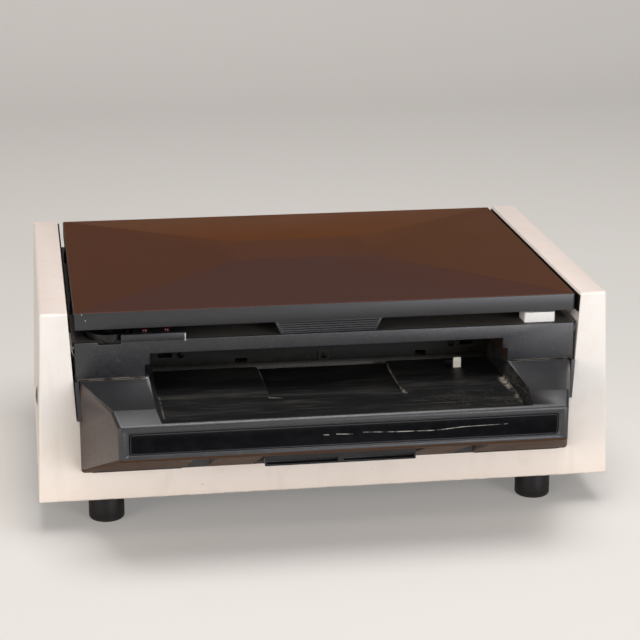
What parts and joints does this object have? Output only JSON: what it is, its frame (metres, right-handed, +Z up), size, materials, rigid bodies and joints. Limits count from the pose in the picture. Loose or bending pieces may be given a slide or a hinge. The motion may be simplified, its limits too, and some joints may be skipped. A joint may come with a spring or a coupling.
{
  "type": "instant film processor",
  "caption": "Tabletop processor for large instant film: U-shaped case on rubber feet, feed shelf, squeeze rollers with geared drive, exit tray under a hinged lid, timer dial and button.",
  "frame": {"origin": "on the surface that the rubber feet stand on, under the middle of the whole object, case and feed shelf together", "axes": "+X to the right as seen by the person who feeds the film, +Y to the back, +Z up; the feed shelf's nose points to -Y"},
  "size_m": [0.433, 0.37, 0.1732],
  "materials": {
    "case_plastic": "warm white moulding, fine grain, yellowed slightly towards the foot",
    "black_moulding": "black moulding with a fine matt grain",
    "lid_plastic": "brown-black moulding, satin, lightly scratched",
    "wall_liner": "thin black strip, matt",
    "strip_plastic": "glossy black strip, bare",
    "insert_plastic": "black, smooth",
    "black_rubber": "matt black rubber",
    "zinc_steel": "zinc-plated steel",
    "roller_steel": "ground and polished steel",
    "bronze": "sintered bronze",
    "gear_nylon": "cream nylon",
    "pinion_brass": "brass pinion pressed on its shaft",
    "grey_metal": "dark grey sheet metal",
    "board": "green circuit board with its components",
    "transformer_iron": "varnished laminations and winding",
    "lamp_red": "dark red lenses",
    "button_white": "white, satin gloss",
    "feeler_white": "off-white acetal",
    "socket_plastic": "black, slightly glossy"
  },
  "bodies": {
    "base": {"case_shell": "case_plastic", "base_plate": "grey_metal", "foot_front_left": "black_rubber", "foot_front_right": "black_rubber", "foot_rear_left": "black_rubber", "foot_rear_right": "black_rubber", "foot_screws": "zinc_steel", "side_plugs": "insert_plastic", "left_liner": "wall_liner", "right_liner": "wall_liner", "front_fascia": "black_moulding", "feed_shelf": "black_moulding", "shelf_screws": "zinc_steel", "pull_insert": "insert_plastic", "name_strip": "strip_plastic", "guide_plate": "black_moulding", "guide_screws": "zinc_steel", "inner_deck": "black_moulding", "deck_posts": "zinc_steel", "deck_screws": "zinc_steel", "exit_tray": "black_moulding", "rear_panel": "black_moulding", "rear_screws": "zinc_steel", "power_inlet": "socket_plastic", "inlet_pins": "zinc_steel", "fuse_holder": "socket_plastic", "switch_housing": "socket_plastic", "hinge_brackets": "zinc_steel", "hinge_pins": "zinc_steel", "hinge_screws": "zinc_steel", "lid_buffers": "black_rubber", "left_frame": "zinc_steel", "right_frame": "zinc_steel", "frame_screws": "zinc_steel", "tie_bars": "zinc_steel", "lower_bushes": "bronze", "upper_bushes": "bronze", "pressure_springs": "zinc_steel", "idler_stud": "zinc_steel", "drive_motor": "grey_metal", "motor_screws": "zinc_steel", "circuit_board": "board", "transformer": "transformer_iron", "timer_control": "grey_metal", "pilot_lamps": "lamp_red", "start_switch": "socket_plastic", "feeler_pin": "zinc_steel", "feeler_switch": "socket_plastic"},
    "lid": {"lid": "lid_plastic", "lid_grip": "black_moulding"},
    "start_button": {"start_button": "button_white"},
    "timer_dial": {"timer_dial": "insert_plastic"},
    "film_feeler": {"film_feeler": "feeler_white"},
    "lower_roller": {"lower_roller": "roller_steel", "lower_gear": "gear_nylon"},
    "upper_roller": {"upper_roller": "roller_steel", "upper_gear": "gear_nylon"},
    "idler_gear": {"idler_gear": "gear_nylon"},
    "drive_pinion": {"drive_pinion": "pinion_brass"},
    "switch_rocker": {"switch_rocker": "socket_plastic"}
  },
  "joints": [
    {"name": "lid_hinge", "type": "hinge", "parent": "base", "child": "lid", "pos_m": [0, 0.177, 0.1532], "axis": [-1, 0, 0], "range_deg": [0, 92]},
    {"name": "start_button_slide", "type": "slide", "parent": "base", "child": "start_button", "axis": [0, 1, 0], "range_m": [0, 0.004], "stiffness_N_per_m": 300, "springref_m": -0.002},
    {"name": "timer_dial_spin", "type": "hinge", "parent": "base", "child": "timer_dial", "pos_m": [-0.16098, -0.0802, 0.1472], "axis": [0, 0, 1], "range_deg": [-145, 145]},
    {"name": "film_feeler_swing", "type": "hinge", "parent": "base", "child": "film_feeler", "pos_m": [0.10464, -0.0675, 0.0963], "axis": [-1, 0, 0], "range_deg": [0, 55], "stiffness_Nm_per_rad": 0.004, "springref_deg": -11.46},
    {"name": "lower_roller_spin", "type": "hinge", "parent": "base", "child": "lower_roller", "pos_m": [0, -0.0225, 0.0961], "axis": [1, 0, 0], "continuous": true},
    {"name": "upper_roller_spin", "type": "hinge", "parent": "base", "child": "upper_roller", "pos_m": [0, -0.0225, 0.1215], "axis": [1, 0, 0], "continuous": true},
    {"name": "idler_gear_spin", "type": "hinge", "parent": "base", "child": "idler_gear", "pos_m": [0, 0.00946, 0.08051], "axis": [1, 0, 0], "continuous": true},
    {"name": "drive_pinion_spin", "type": "hinge", "parent": "base", "child": "drive_pinion", "pos_m": [0, 0.03775, 0.0661], "axis": [1, 0, 0], "continuous": true},
    {"name": "rocker_tilt", "type": "hinge", "parent": "base", "child": "switch_rocker", "pos_m": [-0.16006, 0.179, 0.0738], "axis": [-1, 0, 0], "range_deg": [0, 14]}
  ],
  "couplings": [
    {"joint": "upper_roller_spin", "follows": "lower_roller_spin", "ratio": -1},
    {"joint": "idler_gear_spin", "follows": "lower_roller_spin", "ratio": -0.55556},
    {"joint": "drive_pinion_spin", "follows": "lower_roller_spin", "ratio": 1.4286}
  ]
}
